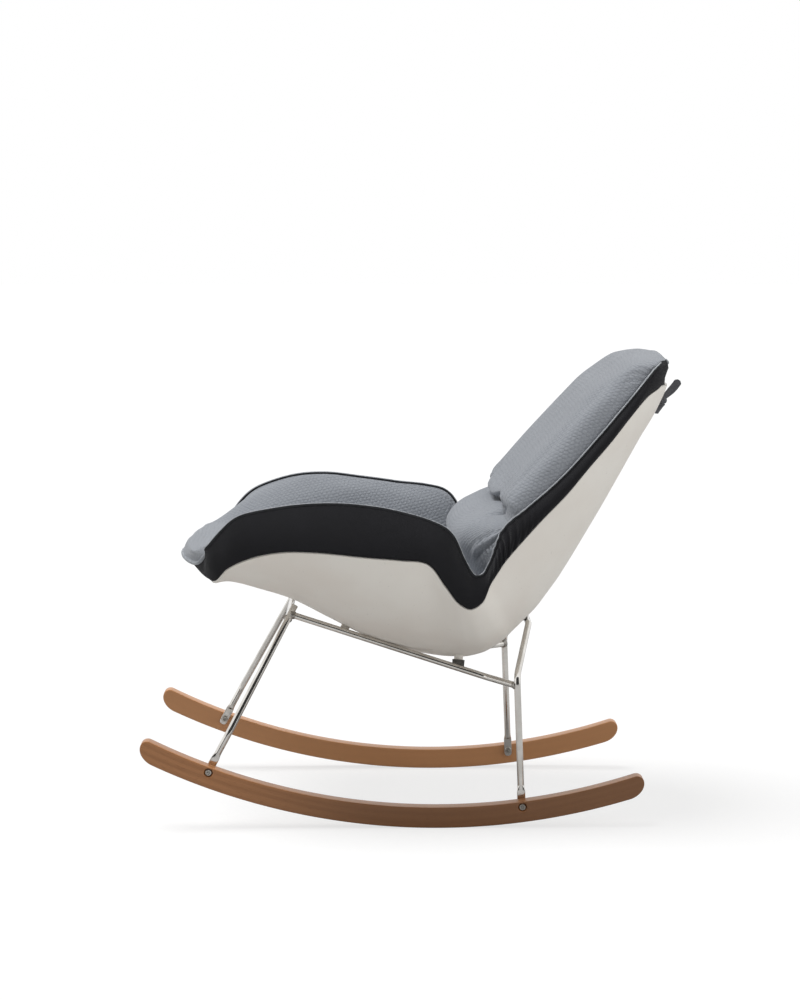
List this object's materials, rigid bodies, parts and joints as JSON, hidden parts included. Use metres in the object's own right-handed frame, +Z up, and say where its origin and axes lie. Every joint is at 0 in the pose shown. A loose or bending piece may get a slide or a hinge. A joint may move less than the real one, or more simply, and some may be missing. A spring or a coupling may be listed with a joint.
{
  "type": "upholstered rocking chair",
  "caption": "Low lounge rocking chair: a moulded bucket shell with a tied-on padded quilted cushion on a bent steel tube frame bolted to curved wooden rockers.",
  "frame": {"origin": "on the floor under the middle of the chair's overall box", "axes": "+Z up, -X the way the sitter faces, +Y to the sitter's right"},
  "size_m": [0.9872, 0.69, 0.835],
  "materials": {
    "beech": "clear satin lacquer",
    "chrome": "bright chrome plate",
    "zinc_steel": "zinc plate",
    "shell_plastic": "fine matt texture",
    "rubber": "plain",
    "dark_fabric": "plain close weave",
    "quilted_fabric": "small quilted knit",
    "foam": "open cell",
    "tie_ribbon": "woven ribbon"
  },
  "bodies": {
    "root": {"arm_left_cover": "quilted_fabric", "arm_left_foam": "foam", "arm_left_piping": "quilted_fabric", "arm_right_cover": "quilted_fabric", "arm_right_foam": "foam", "arm_right_piping": "quilted_fabric", "back_cover": "quilted_fabric", "back_foam": "foam", "back_left_piping": "quilted_fabric", "back_right_piping": "quilted_fabric", "boss_front_left": "shell_plastic", "boss_front_right": "shell_plastic", "boss_rear_left": "shell_plastic", "boss_rear_right": "shell_plastic", "bumper_left": "rubber", "bumper_right": "rubber", "cushion_backing": "dark_fabric", "front_cross_tube": "chrome", "front_leg_left": "chrome", "front_leg_right": "chrome", "front_piping": "quilted_fabric", "leg_bolt_front_left": "zinc_steel", "leg_bolt_front_right": "zinc_steel", "leg_bolt_rear_left": "zinc_steel", "leg_bolt_rear_right": "zinc_steel", "lumbar_cover": "quilted_fabric", "lumbar_foam": "foam", "rear_cross_tube": "chrome", "rear_leg_left": "chrome", "rear_leg_right": "chrome", "rocker_left": "beech", "rocker_right": "beech", "seat_cover": "quilted_fabric", "seat_foam": "foam", "seat_screw_front_left": "zinc_steel", "seat_screw_front_right": "zinc_steel", "seat_screw_rear_left": "zinc_steel", "seat_screw_rear_right": "zinc_steel", "seat_shell": "shell_plastic", "seat_tab_front_left": "chrome", "seat_tab_front_right": "chrome", "seat_tab_rear_left": "chrome", "seat_tab_rear_right": "chrome", "side_rail_left": "chrome", "side_rail_right": "chrome", "sleeve_nut_front_left": "zinc_steel", "sleeve_nut_front_right": "zinc_steel", "sleeve_nut_rear_left": "zinc_steel", "sleeve_nut_rear_right": "zinc_steel", "tie_knot": "tie_ribbon", "tie_strap": "tie_ribbon", "tie_tail_long": "tie_ribbon", "tie_tail_short": "tie_ribbon", "top_piping": "quilted_fabric"}
  },
  "joints": []
}
